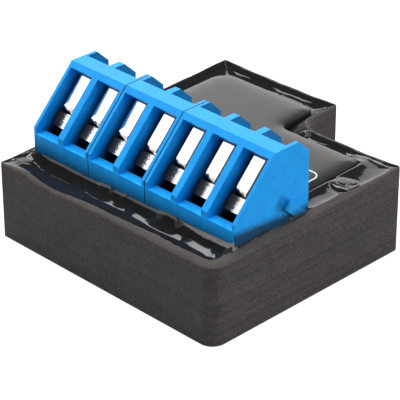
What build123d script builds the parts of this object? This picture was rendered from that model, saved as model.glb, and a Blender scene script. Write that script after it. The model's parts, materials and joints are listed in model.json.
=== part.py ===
from build123d import *
from math import cos, hypot, radians, sin, tan
import os

# Relay module for a flush wiring box: a potted case with a seven pole terminal strip on top.
# Frame: +X along the terminal strip, +Y away from the wire side, +Z up, origin under the middle.

# Terminal strip sizes, in millimetres
pole_pitch = 5.0
poles_per_block = [2, 2, 3]
block_seam = 0.08             # dark line between two blocks
fin_thickness = 1.0           # wall between two cells
housing_depth = 12.3
front_height = 4.6            # upright front face, board to the foot of the slope
slope_angle = 46.5            # slope of the wire side, degrees
top_length = 3.9              # level top face of a fin, front to back
front_wall = 0.8
housing_floor = 0.8
opening_top_strip = 0.92      # plain strip above a wire opening, along the slope
ledge_drop = 0.85             # wire ledge, below the foot of the slope
ledge_depth = 1.37
partition_thickness = 0.8     # plate under the screw head
bar_thickness = 1.6           # top bar, from the slope inwards
recess_depth = 2.75           # fin tip to screw seat, along the screw
chamber_depth = 5.3           # wire chamber, from the slope inwards

# Interlock between two blocks
rail_height = 1.35
rail_root_height = 1.05
rail_reach = 0.5
rail_along = 4.8              # along the slope, foot to lower flank
rail_inward = 6.2             # from the slope inwards to its upper end
rail_lift = 2.0               # board to its trimmed lower end
groove_clearance = 0.06

# Clamp screws
screw_diameter = 2.5
screw_lead = 0.45
screw_shank = 4.9
screw_inward = 3.58           # screw axis, from the slope inwards
head_diameter = 3.5
head_height = 1.3
head_edge = 0.15
head_seat_clearance = 0.05
slot_width = 0.7
slot_depth = 0.75
screw_clearance = 0.08        # radial, in the plate under the head
screw_tip_gap = 0.75          # tip to the contact bar
thread_clearance = 0.05       # radial, in the cage

# Rising cages
cage_side_clearance = 0.15
cage_sheet = 0.38
cage_depth = 2.94
cage_top = 1.0
cage_floor = 0.6
cage_lip = 0.4
cage_lip_height = 1.95
cage_lip_radius = 0.35
cage_roof_clearance = 0.1
cage_turns = 4                # screw turns from shut to open

# Contact bars
bar_sheet = 0.4
bar_side_clearance = 0.07
bar_inward = 1.65             # front face of the upright, from the slope inwards
bar_bend = 0.35               # inner bend radius
bar_over_cage = 0.05
bar_top_clearance = 0.1
tongue_along = 3.447          # underside of the tongue, up the slope from its foot
tongue_inward = 6.2           # end of the tongue, from the slope inwards
tongue_slot_clearance = 0.1
pin_width = 0.9
pin_thickness = 0.6
pin_clearance = 0.15
pin_below_board = 1.2

# Case
strip_side_margin = 1.15      # strip end to outer face of the case
strip_front_margin = 4.76     # strip front to outer face of the case
arm_width = 20.4              # rear arm of the outline
shoulder_gap = 1.23           # rear row of parts to the wall beside the arm
case_wall = 1.0
case_floor = 1.0
front_corner_radius = 2.0
notch_radius = 3.0
corner_radius = 0.4
least_radius = 0.12
parallel_limit = 1e-6         # how far two directions may differ and still count as parallel
rim_over_board = 0.95         # at the front left corner
rim_rise_right = 0.53         # the pour stood a little askew, so the rim climbs
rim_rise_back = 0.81
rim_round = 0.3
post_size = 1.8
overrun = 2.0                 # how far cutters pass a face

# Circuit board
board_thickness = 1.6
board_wall_gap = 0.4

# Potting compound
pour_land = 0.1
pour_land_drop = 0.1
meniscus_widths = [0.45, 1.2]
meniscus_drops = [0.33, 0.45]

# Label plate
label_left_margin = 2.5
label_back_margin = 2.9
label_shoulder_margin = 2.2
label_arm_margin = 1.3
label_right_margin = 4.6
label_strip_gap = 0.7
label_thickness = 0.6
label_corner_radius = 2.4
label_notch_radius = 1.2
label_end_radius = 1.2
label_edge_round = 0.2

# Relays, laid on one side under the board
relay_length = 15.5
relay_width = 6.3
relay_wall = 0.4
relay_base = 1.0
relay_gap = 0.8               # to the wall and to the solder pins
relay_floor_gap = 0.7
relay_pin_gap = 0.8
relay_fit = 0.05
relay_pin = 0.5
relay_pin_reach = 0.6         # base to the cranked part of a pin
relay_pin_shares = [0.1, 0.26, 0.42, 0.7, 0.88]
coil_diameter = 4.6
coil_core_diameter = 2.0
coil_flange = 0.4
coil_flange_diameter = 5.2
coil_length = 8.8
yoke_thickness = 0.8
yoke_width = 4.4
yoke_gap = 0.2
armature_thickness = 0.7
armature_gap = 0.3            # armature face to core end, at rest
armature_hinge_gap = 0.1
leaf_thickness = 0.2
leaf_width = 3.0
contact_diameter = 1.6
contact_height = 0.35
contact_gap = 0.55            # moving button to the button it closes on
contact_rest_gap = 0.05
contact_blade = 0.3
contact_room = 3.15           # coil to base
leaf_end_gap = 0.8

# Parts soldered under the board
part_gap = 0.7
capacitor_diameter = 6.3
capacitor_length = 9.5
capacitor_groove = 0.3
capacitor_groove_inset = 1.4
choke_diameter = 4.2
choke_waist = 3.0
choke_length = 4.6
choke_flange = 0.8
lead_diameter = 0.6
lead_clearance = 0.1
varistor_diameter = 6.5
varistor_thickness = 3.0
varistor_edge = 0.6
resistor_diameter = 3.0
resistor_length = 8.6
resistor_cap = 1.2
resistor_cap_step = 0.2
bridge_length = 4.6
bridge_width = 4.0
bridge_height = 2.5
converter_length = 4.4
converter_width = 4.0
converter_height = 1.6
leg_width = 0.45
leg_reach = 0.9
leg_thickness = 0.25
opto_length = 4.4
opto_width = 5.2
opto_height = 2.2
radio_side = 4.5
radio_height = 0.9
memory_length = 4.0
memory_width = 3.2
memory_height = 1.4
crystal_length = 2.5
crystal_width = 2.0
crystal_height = 0.7
antenna_length = 5.2
antenna_width = 2.0
antenna_height = 1.2
regulator_length = 3.0
regulator_width = 2.6
regulator_height = 1.6
transistor_length = 2.6
transistor_width = 1.3
transistor_height = 1.1
diode_length = 3.0
diode_width = 1.5
diode_height = 1.1
chip_length = 1.6
chip_width = 0.8
chip_height = 0.8
chip_count = 3
aerial_gap = 0.33             # memory chip to the row in front of the antenna

# Worked out from the sizes above
pole_count = sum(poles_per_block)
strip_length = pole_count * pole_pitch
cell_width = pole_pitch - fin_thickness
body_width = strip_length + 2 * strip_side_margin
left, right = -body_width / 2, body_width / 2
board_height = case_floor + relay_floor_gap + relay_width
board_top = board_height + board_thickness
rim_height = board_top + rim_over_board
foot_z = board_top + front_height
slope_cos, slope_sin = cos(radians(slope_angle)), sin(radians(slope_angle))
tongue_top = tongue_along + bar_sheet
screw_seat = tongue_top + screw_tip_gap + screw_shank - head_seat_clearance
fin_tip = screw_seat + recess_depth
slope_length = fin_tip - top_length * slope_cos
slope_run = slope_length * slope_cos
housing_height = front_height + slope_length * slope_sin
top_z = board_top + housing_height
chamfer_drop = (housing_depth - slope_run - top_length) * slope_cos / slope_sin
chamber_roof = screw_seat - partition_thickness
cage_roof = chamber_roof - cage_roof_clearance
cage_width = cell_width - 2 * cage_side_clearance
cage_inner = cage_width - 2 * cage_sheet
cage_travel = cage_turns * screw_lead
bar_width = cage_inner - 2 * bar_side_clearance
tongue_middle = (tongue_along + tongue_top) / 2
cage_floor_top = tongue_along - bar_over_cage
cage_front = screw_inward - cage_depth / 2
lip_front = cage_front - cage_lip
shaft_front = ledge_depth * slope_sin + ledge_drop * slope_cos
ledge_z = foot_z - ledge_drop
chamber_floor = board_top + housing_floor
pin_setback = tongue_middle * slope_cos + tongue_inward * slope_sin - pin_thickness / 2
relay_casing = relay_wall + relay_fit + relay_base
relay_height = relay_casing + 2 * yoke_gap + yoke_thickness + coil_flange_diameter + contact_room
relay_front = strip_front_margin + pin_setback + pin_thickness / 2 + relay_gap
rear_row = relay_front + relay_length + part_gap
shoulder_depth = rear_row + diode_width + shoulder_gap + case_wall
aerial_row = rear_row + memory_width + 2 * leg_reach + aerial_gap
antenna_row = aerial_row + chip_width + part_gap
body_depth = antenna_row + antenna_width + part_gap + board_wall_gap + case_wall
front, back = -body_depth / 2, body_depth / 2
strip_front = front + strip_front_margin
strip_back = strip_front + housing_depth
strip_left = -strip_length / 2
top_front = strip_front + slope_run
shoulder = front + shoulder_depth
arm_right = left + arm_width
screw_axis = Vector(0, slope_cos, slope_sin)


def on_slope(along, inward):
    # Y and Z of a point, measured up the slope from its foot and square to it, inwards
    return (
        strip_front + along * slope_cos + inward * slope_sin,
        foot_z + along * slope_sin - inward * slope_cos,
    )


def bar_along_x(points, x_from, x_to):
    # a profile in Y and Z, carried along X
    return extrude(Plane.YZ.offset(x_from) * make_face(Polyline(*points, close=True)), x_to - x_from)


def box_from(x, y, z):
    # a box between pairs of limits
    size = Box(x[1] - x[0], y[1] - y[0], z[1] - z[0])
    return Pos((x[0] + x[1]) / 2, (y[0] + y[1]) / 2, (z[0] + z[1]) / 2) * size


def pole_x(index):
    return strip_left + (index + 0.5) * pole_pitch


def rim_plane():
    # the askew plane of the case rim
    slope_right, slope_back = rim_rise_right / body_width, rim_rise_back / body_depth
    middle = rim_height + (rim_rise_right + rim_rise_back) / 2
    return Plane(origin=(0, 0, middle), x_dir=(1, 0, slope_right), z_dir=(-slope_right, -slope_back, 1))


def near(shape, x, y):
    return shape.vertices().sort_by_distance((x, y, 0))[0]


def body_outline(inset):
    # the stepped outline of the module, drawn in by an inset
    x0, x1, xa = left + inset, right - inset, arm_right - inset
    y0, y1, ys = front + inset, back - inset, shoulder - inset
    shape = make_face(Polyline((x0, y0), (x1, y0), (x1, ys), (xa, ys), (xa, y1), (x0, y1), close=True))
    shape = fillet(near(shape, x1, y0), max(front_corner_radius - inset, least_radius))
    shape = fillet(near(shape, xa, ys), notch_radius + inset)
    for x, y in ((x0, y0), (x1, ys), (xa, y1), (x0, y1)):
        shape = fillet(near(shape, x, y), max(corner_radius - inset, least_radius))
    return shape


# Terminal housings

def cell_cutter(x):
    half = cell_width / 2
    ledge_along = (ledge_z - foot_z + shaft_front * slope_cos) / slope_sin
    wall_along = (front_wall - shaft_front * slope_sin) / slope_cos
    floor_along = (chamber_floor - foot_z + chamber_depth * slope_cos) / slope_sin
    wall_point = on_slope(wall_along, shaft_front)
    chamber = [
        on_slope(slope_length - opening_top_strip, -overrun),
        (strip_front - overrun, ledge_z),
        on_slope(ledge_along, shaft_front),
        wall_point,
        (wall_point[0], chamber_floor),
        on_slope(floor_along, chamber_depth),
        on_slope(chamber_roof, chamber_depth),
        on_slope(chamber_roof, bar_inward - bar_top_clearance),
    ]
    recess = [
        on_slope(screw_seat, bar_thickness),
        on_slope(fin_tip + overrun, bar_thickness),
        on_slope(fin_tip + overrun, housing_depth),
        on_slope(screw_seat, housing_depth),
    ]
    hole = Cylinder(screw_diameter / 2 + screw_clearance, partition_thickness,
                    align=(Align.CENTER, Align.CENTER, Align.MIN))
    tongue_slot = [
        on_slope(tongue_along - tongue_slot_clearance, chamber_depth),
        on_slope(tongue_top + tongue_slot_clearance, chamber_depth),
        on_slope(tongue_top + tongue_slot_clearance, tongue_inward + tongue_slot_clearance),
        on_slope(tongue_along - tongue_slot_clearance, tongue_inward + tongue_slot_clearance),
    ]
    slot_half = bar_width / 2 + tongue_slot_clearance
    pin_y, pin_z = pin_place()
    pin_half, pin_deep = pin_width / 2 + pin_clearance, pin_thickness / 2 + pin_clearance
    pin_slot = box_from((x - pin_half, x + pin_half), (pin_y - pin_deep, pin_y + pin_deep), (board_top, pin_z))
    cutter = bar_along_x(chamber, x - half, x + half) + bar_along_x(recess, x - half, x + half)
    cutter += screw_frame(x, chamber_roof) * hole
    return cutter + bar_along_x(tongue_slot, x - slot_half, x + slot_half) + pin_slot


def rail(x, growth):
    # the dovetail rail that joins two blocks, on the face at x
    y, z = on_slope(rail_along + rail_height / 2, rail_inward - growth)
    root, tip = rail_root_height / 2 + growth, rail_height / 2 + growth
    reach = rail_reach + growth
    frame = Plane(origin=(x, y, z), x_dir=(1, 0, 0), z_dir=(0, slope_sin, -slope_cos))
    profile = make_face(Polyline((0, -root), (reach, -tip), (reach, tip), (0, root), close=True))
    bar = extrude(frame * profile, housing_depth)
    below = box_from((x - overrun, x + overrun), (strip_front, strip_back + housing_depth),
                     (board_top - housing_height, board_top + rail_lift - growth))
    return bar - below


def housing(first_pole, poles):
    x_from = strip_left + first_pole * pole_pitch + block_seam / 2
    x_to = strip_left + (first_pole + poles) * pole_pitch - block_seam / 2
    outer = [
        (strip_front, board_top),
        (strip_front, foot_z),
        (top_front, top_z),
        (top_front + top_length, top_z),
        (strip_back, top_z - chamfer_drop),
        (strip_back, board_top),
    ]
    block = bar_along_x(outer, x_from, x_to)
    for pole in range(first_pole, first_pole + poles):
        block -= cell_cutter(pole_x(pole))
    block -= rail(x_from, groove_clearance)
    return block + rail(x_to, 0)


def housing_envelope():
    # the strip without its cells, which the potting compound flows round
    return box_from((strip_left + block_seam / 2, -strip_left - block_seam / 2),
                    (strip_front, strip_back), (board_top, top_z))


# Clamp mechanism of one pole

def screw_frame(x, along):
    y, z = on_slope(along, screw_inward)
    return Plane(origin=(x, y, z), x_dir=(1, 0, 0), z_dir=screw_axis)


def clamp_screw(x):
    seat = screw_seat + head_seat_clearance
    head = Cylinder(head_diameter / 2, head_height, align=(Align.CENTER, Align.CENTER, Align.MIN))
    head = chamfer(head.edges().group_by(Axis.Z)[-1], head_edge)
    slot = Pos(0, 0, head_height) * Box(head_diameter, slot_width, 2 * slot_depth)
    shank = Cylinder(screw_diameter / 2, screw_shank, align=(Align.CENTER, Align.CENTER, Align.MAX))
    shank = chamfer(shank.edges().group_by(Axis.Z)[0], head_edge)
    return screw_frame(x, seat) * (head - slot + shank)


def clamp_cage(x):
    half = cage_width / 2
    cage_rear = cage_front + cage_depth
    floor_under = cage_floor_top - cage_floor
    lip_foot = cage_floor_top - cage_lip_height
    outer = [
        on_slope(cage_roof, cage_front),
        on_slope(cage_roof, cage_rear),
        on_slope(floor_under, cage_rear),
        on_slope(floor_under, cage_front),
    ]
    lip = [
        on_slope(cage_floor_top, lip_front),
        on_slope(cage_floor_top, cage_front),
        on_slope(lip_foot, cage_front),
        on_slope(lip_foot, lip_front),
    ]
    window = [
        on_slope(cage_roof - cage_top, cage_front - overrun),
        on_slope(cage_roof - cage_top, cage_rear + overrun),
        on_slope(cage_floor_top, cage_rear + overrun),
        on_slope(cage_floor_top, cage_front - overrun),
    ]
    body = bar_along_x(outer, x - half, x + half)
    body -= bar_along_x(window, x - cage_inner / 2, x + cage_inner / 2)
    skirt = bar_along_x(lip, x - half, x + half)
    facing = Vector(0, slope_sin, -slope_cos)
    lip_z = on_slope(lip_foot, lip_front)[1]
    corners = []
    for edge in skirt.edges():
        if 1 - abs(edge.tangent_at(0).dot(facing)) < parallel_limit and edge.center().Z < lip_z:
            corners.append(edge)
    skirt = fillet(corners, cage_lip_radius)
    hole = screw_frame(x, cage_roof - cage_top) * Cylinder(
        screw_diameter / 2 + thread_clearance, cage_top, align=(Align.CENTER, Align.CENTER, Align.MIN))
    return body + skirt - hole


def pin_place():
    # where the solder pin leaves the tongue
    return strip_front + pin_setback, on_slope(tongue_middle, tongue_inward)[1]


def bar_point(along, inward):
    return (0,) + on_slope(along, inward)


def contact_bar(x):
    half = bar_width / 2
    upright_back = bar_inward + bar_sheet
    top = chamber_roof - bar_top_clearance
    outer_bend = bar_bend + bar_sheet
    middle = (tongue_along + outer_bend, bar_inward + outer_bend)
    turn = sin(radians(45))
    outer_middle = bar_point(middle[0] - outer_bend * turn, middle[1] - outer_bend * turn)
    inner_middle = bar_point(middle[0] - bar_bend * turn, middle[1] - bar_bend * turn)
    edges = [
        Line(bar_point(top, bar_inward), bar_point(middle[0], bar_inward)),
        ThreePointArc(bar_point(middle[0], bar_inward), outer_middle, bar_point(tongue_along, middle[1])),
        Line(bar_point(tongue_along, middle[1]), bar_point(tongue_along, tongue_inward)),
        Line(bar_point(tongue_along, tongue_inward), bar_point(tongue_top, tongue_inward)),
        Line(bar_point(tongue_top, tongue_inward), bar_point(tongue_top, middle[1])),
        ThreePointArc(bar_point(tongue_top, middle[1]), inner_middle, bar_point(middle[0], upright_back)),
        Line(bar_point(middle[0], upright_back), bar_point(top, upright_back)),
        Line(bar_point(top, upright_back), bar_point(top, bar_inward)),
    ]
    strip = extrude(make_face(edges), bar_width, dir=(1, 0, 0))
    strip = Pos(x - half, 0, 0) * strip
    pin_y, pin_z = pin_place()
    pin = box_from((x - pin_width / 2, x + pin_width / 2),
                   (pin_y - pin_thickness / 2, pin_y + pin_thickness / 2),
                   (board_height - pin_below_board, pin_z))
    return strip + pin


# Case, board, potting compound and label

def case():
    tallest = rim_height + rim_rise_right + rim_rise_back + overrun
    shell = split(extrude(body_outline(0), tallest), bisect_by=rim_plane(), keep=Keep.BOTTOM)
    shell = fillet(shell.faces().sort_by(Axis.Z)[-1].edges(), rim_round)
    shell -= Pos(0, 0, case_floor) * extrude(body_outline(case_wall), tallest)
    for x, y in post_corners():
        root = case_wall / 2
        shell += box_from(post_limits(x, root), post_limits(y, root), (case_floor, board_height))
    return shell


def post_corners():
    # inner corners that carry the board, each with the way into the case
    x0, x1, xa = left + case_wall, right - case_wall, arm_right - case_wall
    y0, y1, ys = front + case_wall, back - case_wall, shoulder - case_wall
    rear = [((x1, -1), (ys, -1)), ((xa, -1), (y1, -1)), ((x0, 1), (y1, -1))]
    return [((x0, 1), (y0, 1)), ((x1, -1), (y0, 1))] + rear


def post_limits(corner, root):
    # a post's limits along one axis, its root let into the wall
    place, inwards = corner
    return sorted((place - inwards * root, place + inwards * post_size))


def board_blank():
    return Pos(0, 0, board_height) * extrude(body_outline(case_wall + board_wall_gap), board_thickness)


def circuit_board():
    board = board_blank()
    pin_y, _ = pin_place()
    hole = hypot(pin_width, pin_thickness) / 2 + lead_clearance
    places = [(pole_x(pole), pin_y, hole) for pole in range(pole_count)]
    places += [(x, y, hypot(relay_pin, relay_pin) / 2 + lead_clearance) for x, y in relay_pin_places()]
    places += [(x, y, lead_diameter / 2 + lead_clearance) for x, y in lead_places()]
    for x, y, radius in places:
        drill = Cylinder(radius, board_thickness, align=(Align.CENTER, Align.CENTER, Align.MIN))
        board -= Pos(x, y, board_height) * drill
    return board


def pour_top():
    # the glossy upper pour, with the meniscus that climbs the case wall
    tallest = rim_height + rim_rise_right + rim_rise_back
    block = Pos(0, 0, board_top) * extrude(body_outline(case_wall), tallest - board_top + overrun)
    land = rim_plane().offset(-pour_land_drop)
    block = split(block, bisect_by=land, keep=Keep.BOTTOM)
    insets = [case_wall + pour_land] + [case_wall + width for width in meniscus_widths]
    drops = [pour_land_drop] + meniscus_drops
    rings = [Pos(0, 0, -drop) * body_outline(inset) for inset, drop in zip(insets, drops)]
    for upper, lower in zip(rings[:-1], rings[1:]):
        block -= rim_plane() * loft([upper, lower], ruled=True)
    bed = rim_plane().offset(-meniscus_drops[-1]) * extrude(label_outline(), label_thickness + overrun)
    return block - housing_envelope() - bed


def pour_fill():
    # the lower pour, round everything under the board
    block = Pos(0, 0, case_floor) * extrude(body_outline(case_wall), board_top - case_floor)
    for solid in embedded_shapes():
        block -= solid
    return block


def label_outline():
    x0, x1, xa = left + label_left_margin, right - label_right_margin, arm_right - label_arm_margin
    y0, y1, ys = strip_back + label_strip_gap, back - label_back_margin, shoulder - label_shoulder_margin
    shape = make_face(Polyline((x0, y0), (x1, y0), (x1, ys), (xa, ys), (xa, y1), (x0, y1), close=True))
    shape = fillet(near(shape, x0, y1), label_corner_radius)
    shape = fillet(near(shape, xa, ys), label_notch_radius)
    for x, y in ((x0, y0), (x1, y0), (x1, ys), (xa, y1)):
        shape = fillet(near(shape, x, y), label_end_radius)
    return shape


def label_plate():
    plate = extrude(label_outline(), label_thickness)
    plate = fillet(plate.faces().sort_by(Axis.Z)[-1].edges(), label_edge_round)
    return rim_plane().offset(-meniscus_drops[-1]) * plate


# Relays

def relay_origins():
    # lower front left corner of each relay; its height lies along X, its pins point to +X
    x = left + case_wall + relay_gap
    y = front + relay_front
    step = relay_height + relay_pin_reach + relay_pin + relay_pin_gap
    return [(x + step * index, y, board_height - relay_width) for index in range(2)]


def relay_pin_places():
    places = []
    for x, y, _ in relay_origins():
        for share in relay_pin_shares:
            places.append((x + relay_height + relay_pin_reach + relay_pin / 2, y + share * relay_length))
    return places


def relay_pin_solid(origin, share, stem_from):
    # a pin that leaves the base sideways and is cranked up into the board
    x, y, z = origin
    middle_y, middle_z = y + share * relay_length, z + relay_width / 2
    x_end = x + relay_height + relay_pin_reach + relay_pin
    half = relay_pin / 2
    along = (middle_y - half, middle_y + half)
    foot = box_from((x + stem_from, x_end), along, (middle_z - half, middle_z + half))
    rise = box_from((x_end - relay_pin, x_end), along, (middle_z - half, board_top))
    return foot + rise


def relay_envelope(origin):
    x, y, z = origin
    return box_from((x, x + relay_height), (y, y + relay_length), (z, z + relay_width))


def relay_cover(origin):
    x, y, z = origin
    shell = relay_envelope(origin)
    hollow = box_from((x + relay_wall, x + relay_height), (y + relay_wall, y + relay_length - relay_wall),
                      (z + relay_wall, z + relay_width - relay_wall))
    return shell - hollow


def relay_base_plate(origin):
    x, y, z = origin
    inset = relay_wall + relay_fit
    plate = box_from((x + relay_height - relay_base, x + relay_height),
                     (y + inset, y + relay_length - inset), (z + inset, z + relay_width - inset))
    for share in relay_pin_shares:
        plate -= relay_pin_solid(origin, share, relay_height - relay_base - relay_pin)
    return plate


def relay_layout(origin):
    # places inside a relay: depth from the pins side, run along the coil
    x, y, z = origin
    layout = {}
    layout["middle_z"] = z + relay_width / 2
    layout["yoke_x"] = x + relay_wall + relay_fit + yoke_gap
    layout["coil_x"] = layout["yoke_x"] + yoke_thickness + yoke_gap + coil_flange_diameter / 2
    layout["yoke_end"] = y + relay_length - relay_wall - yoke_gap
    layout["coil_y"] = layout["yoke_end"] - yoke_thickness - coil_length
    layout["pole_y"] = layout["coil_y"] - yoke_gap
    layout["armature_y"] = layout["pole_y"] - armature_gap
    layout["leaf_end_x"] = x + relay_height - relay_base - leaf_end_gap
    layout["button_x"] = layout["leaf_end_x"] - contact_diameter / 2
    return layout


def along_y(radius, x, y_from, y_to, z):
    rod = Cylinder(radius, y_to - y_from, align=(Align.CENTER, Align.CENTER, Align.MAX))
    return Pos(x, y_from, z) * Rot(90, 0, 0) * rod


def relay_coil(origin):
    at = relay_layout(origin)
    x, y, z = at["coil_x"], at["coil_y"], at["middle_z"]
    spool = along_y(coil_flange_diameter / 2, x, y, y + coil_flange, z)
    spool += along_y(coil_diameter / 2, x, y + coil_flange, y + coil_length - coil_flange, z)
    half = coil_flange_diameter / 2
    spool += box_from((x - half, origin[0] + relay_height - relay_base),
                      (y + coil_length - coil_flange, y + coil_length), (z - half, z + half))
    return spool - along_y(coil_core_diameter / 2, x, y, y + coil_length, z)


def relay_yoke(origin):
    # the bent yoke with the core through the coil
    at = relay_layout(origin)
    half = yoke_width / 2
    z = (at["middle_z"] - half, at["middle_z"] + half)
    long_leg = box_from((at["yoke_x"], at["yoke_x"] + yoke_thickness), (at["armature_y"], at["yoke_end"]), z)
    short_leg = box_from((at["yoke_x"], at["coil_x"] + coil_flange_diameter / 2),
                         (at["yoke_end"] - yoke_thickness, at["yoke_end"]), z)
    core = along_y(coil_core_diameter / 2, at["coil_x"], at["pole_y"], at["yoke_end"] - yoke_thickness,
                   at["middle_z"])
    return long_leg + short_leg + core


def relay_armature(origin):
    # the hinged plate with its contact leaf and moving button
    at = relay_layout(origin)
    half = yoke_width / 2
    y_face = at["armature_y"] - armature_hinge_gap
    plate_end = at["coil_x"] + coil_core_diameter
    plate = box_from((at["yoke_x"], plate_end), (y_face - armature_thickness, y_face),
                     (at["middle_z"] - half, at["middle_z"] + half))
    leaf_y = y_face - armature_thickness
    leaf = box_from((at["yoke_x"] + yoke_thickness, at["leaf_end_x"]), (leaf_y - leaf_thickness, leaf_y),
                    (at["middle_z"] - leaf_width / 2, at["middle_z"] + leaf_width / 2))
    button = along_y(contact_diameter / 2, at["button_x"], leaf_y - leaf_thickness - contact_height,
                     leaf_y + contact_height, at["middle_z"])
    return plate + leaf + button


def relay_contacts(origin):
    # the two fixed blades with their buttons, each standing on the base
    at = relay_layout(origin)
    x_base = origin[0] + relay_height - relay_base
    y_face = at["armature_y"] - armature_hinge_gap - armature_thickness
    rest_y = y_face - leaf_thickness - contact_height - contact_rest_gap
    make_y = y_face + contact_height + contact_gap
    x_from = at["button_x"] - contact_diameter / 2
    z = (at["middle_z"] - leaf_width / 2, at["middle_z"] + leaf_width / 2)
    rest = box_from((x_from, x_base), (rest_y - contact_height - contact_blade, rest_y - contact_height), z)
    rest += along_y(contact_diameter / 2, at["button_x"], rest_y - contact_height, rest_y, at["middle_z"])
    make = box_from((x_from, x_base), (make_y + contact_height, make_y + contact_height + contact_blade), z)
    make += along_y(contact_diameter / 2, at["button_x"], make_y, make_y + contact_height, at["middle_z"])
    return Compound(children=[rest, make])


def relay_pins(origin):
    pins = [relay_pin_solid(origin, share, relay_height - relay_base) for share in relay_pin_shares]
    return Compound(children=pins)


# Parts under the board

def lying_y(x, y_from, radius, length):
    return along_y(radius, x, y_from, y_from + length, board_height - radius)


def lead(x, y, z_from):
    wire = Cylinder(lead_diameter / 2, board_top - z_from, align=(Align.CENTER, Align.CENTER, Align.MIN))
    return Pos(x, y, z_from) * wire


def side_column():
    # X of the parts beside the relays
    return right - case_wall - part_gap - capacitor_diameter / 2


def capacitor_place():
    return side_column(), relay_origins()[0][1]


def choke_place():
    x, y = capacitor_place()
    return x, y + capacitor_length + lead_diameter * 3 / 2 + part_gap


def varistor_place():
    x = left + case_wall + part_gap + varistor_diameter / 2
    return x, front + case_wall + post_size + varistor_diameter / 2


def resistor_place():
    x = varistor_place()[0] + varistor_diameter / 2 + part_gap + resistor_diameter / 2
    return x, front + case_wall + part_gap / 2


def lead_places():
    places = []
    x, y = capacitor_place()
    gap = capacitor_diameter / 4
    y_lead = y + capacitor_length + lead_diameter
    places += [(x - gap, y_lead), (x + gap, y_lead)]
    x, y = choke_place()
    places += [(x - choke_waist / 4, y + choke_length / 2), (x + choke_waist / 4, y + choke_length / 2)]
    x, y = varistor_place()
    places += [(x - varistor_diameter / 4, y), (x + varistor_diameter / 4, y)]
    x, y = resistor_place()
    places += [(x, y + resistor_cap / 2), (x, y + resistor_length - resistor_cap / 2)]
    return places


def smoothing_capacitor():
    x, y = capacitor_place()
    radius = capacitor_diameter / 2
    can = lying_y(x, y, radius, capacitor_length)
    z = board_height - radius
    ring_y = y + capacitor_length - capacitor_groove_inset
    ring = along_y(radius, x, ring_y, ring_y + capacitor_groove, z)
    ring -= along_y(radius - capacitor_groove, x, ring_y, ring_y + capacitor_groove, z)
    can -= ring
    half = lead_diameter / 2
    for place in lead_places()[0:2]:
        across = (place[0] - half, place[0] + half)
        can += box_from(across, (y + capacitor_length, place[1] + half), (z - half, z + half))
        can += box_from(across, (place[1] - half, place[1] + half), (z, board_top))
    return can


def power_choke():
    x, y = choke_place()
    z = board_height - choke_diameter / 2
    spool = lying_y(x, y, choke_diameter / 2, choke_flange)
    spool += along_y(choke_waist / 2, x, y + choke_flange, y + choke_length - choke_flange, z)
    spool += lying_y(x, y + choke_length - choke_flange, choke_diameter / 2, choke_flange)
    leads = [lead(*place, z) for place in lead_places()[2:4]]
    return spool + leads[0] + leads[1]


def varistor():
    x, y = varistor_place()
    disc = Cylinder(varistor_diameter / 2, varistor_thickness, align=(Align.CENTER, Align.CENTER, Align.MAX))
    disc = fillet(disc.edges().group_by(Axis.Z)[0], varistor_edge)
    leads = [lead(*place, board_height - varistor_edge) for place in lead_places()[4:6]]
    return Pos(x, y, board_height) * disc + leads[0] + leads[1]


def fusible_resistor():
    x, y = resistor_place()
    radius = resistor_diameter / 2
    z = board_height - radius
    body = along_y(radius, x, y, y + resistor_cap, z)
    body += along_y(radius - resistor_cap_step, x, y + resistor_cap, y + resistor_length - resistor_cap, z)
    body += along_y(radius, x, y + resistor_length - resistor_cap, y + resistor_length, z)
    leads = [lead(*place, z) for place in lead_places()[6:8]]
    return body + leads[0] + leads[1]


def chip(x, y, length, width, height, legs_per_side):
    # a moulded part against the underside of the board, with flat legs along X
    body = box_from((x, x + length), (y, y + width), (board_height - height, board_height))
    for index in range(legs_per_side):
        middle = x + length * (index + 0.5) / legs_per_side
        across = (middle - leg_width / 2, middle + leg_width / 2)
        body += box_from(across, (y - leg_reach, y + width + leg_reach),
                         (board_height - leg_thickness, board_height))
    return body


def front_row_x(index):
    # the parts in front of the terminal pins, left to right behind the resistor
    widths = [bridge_length, converter_length, opto_length, opto_length]
    x = resistor_place()[0] + resistor_diameter / 2 + part_gap
    return x + sum(widths[:index]) + part_gap * index


def front_row_y():
    return front + case_wall + part_gap + leg_reach


def rectifier_bridge():
    return chip(front_row_x(0), front_row_y(), bridge_length, bridge_width, bridge_height, 2)


def converter_chip():
    return chip(front_row_x(1), front_row_y(), converter_length, converter_width, converter_height, 4)


def input_optocouplers():
    optos = [chip(front_row_x(index), front_row_y(), opto_length, opto_width, opto_height, 2)
             for index in (2, 3)]
    return Compound(children=optos)


def rear_row_y():
    # behind the relays
    return front + rear_row


def rear_row_x(index):
    widths = [radio_side, memory_length, regulator_length, crystal_length,
              diode_length, diode_length, transistor_length, transistor_length]
    return left + case_wall + part_gap * (index + 1) + sum(widths[:index])


def flat_part(x, y, length, width, height):
    return box_from((x, x + length), (y, y + width), (board_height - height, board_height))


def radio_chip():
    return flat_part(rear_row_x(0), rear_row_y(), radio_side, radio_side, radio_height)


def radio_crystal():
    return flat_part(rear_row_x(3), rear_row_y(), crystal_length, crystal_width, crystal_height)


def memory_chip():
    return chip(rear_row_x(1), rear_row_y() + leg_reach, memory_length, memory_width, memory_height, 4)


def voltage_regulator():
    y = rear_row_y() + leg_reach
    return chip(rear_row_x(2), y, regulator_length, regulator_width, regulator_height, 3)


def coil_diodes():
    y = rear_row_y()
    diodes = [flat_part(rear_row_x(index), y, diode_length, diode_width, diode_height) for index in (4, 5)]
    return Compound(children=diodes)


def relay_transistors():
    y = rear_row_y()
    solids = [flat_part(rear_row_x(index), y, transistor_length, transistor_width, transistor_height)
              for index in (6, 7)]
    return Compound(children=solids)


def aerial_row_x():
    return left + case_wall + post_size + part_gap


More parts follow.
